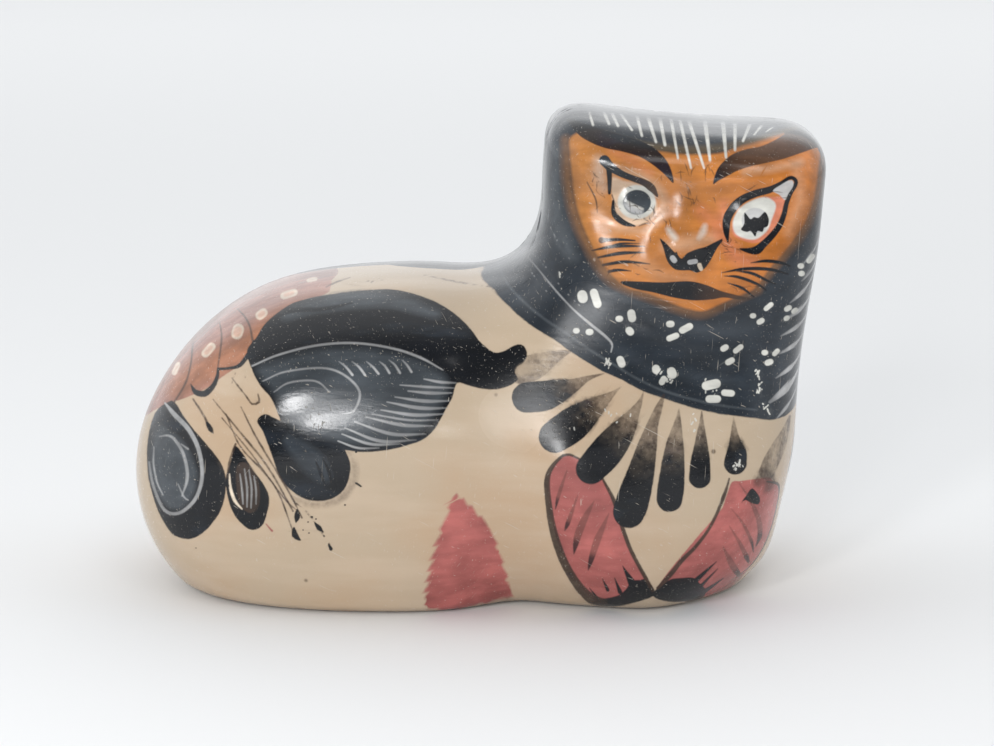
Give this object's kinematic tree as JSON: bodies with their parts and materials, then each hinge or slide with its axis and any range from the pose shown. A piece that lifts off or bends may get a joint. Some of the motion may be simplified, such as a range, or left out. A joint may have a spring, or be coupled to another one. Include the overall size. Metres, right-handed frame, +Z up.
{
  "type": "pottery cat figurine",
  "caption": "Burnished and painted folk-pottery cat, lying with its head turned to the front, an ornament that stands flat on a shelf.",
  "frame": {"origin": "middle of the flat foot, at the bottom centre of the whole figure", "axes": "+X along the body from the rump to the head, +Z up, -Y the side that the face looks to"},
  "size_m": [0.1864, 0.1082, 0.13],
  "materials": {
    "painted_clay": "burnished buff clay with painted slip in black, grey, orange and red, glossy"
  },
  "bodies": {
    "root": {"cat": "painted_clay"}
  },
  "joints": []
}
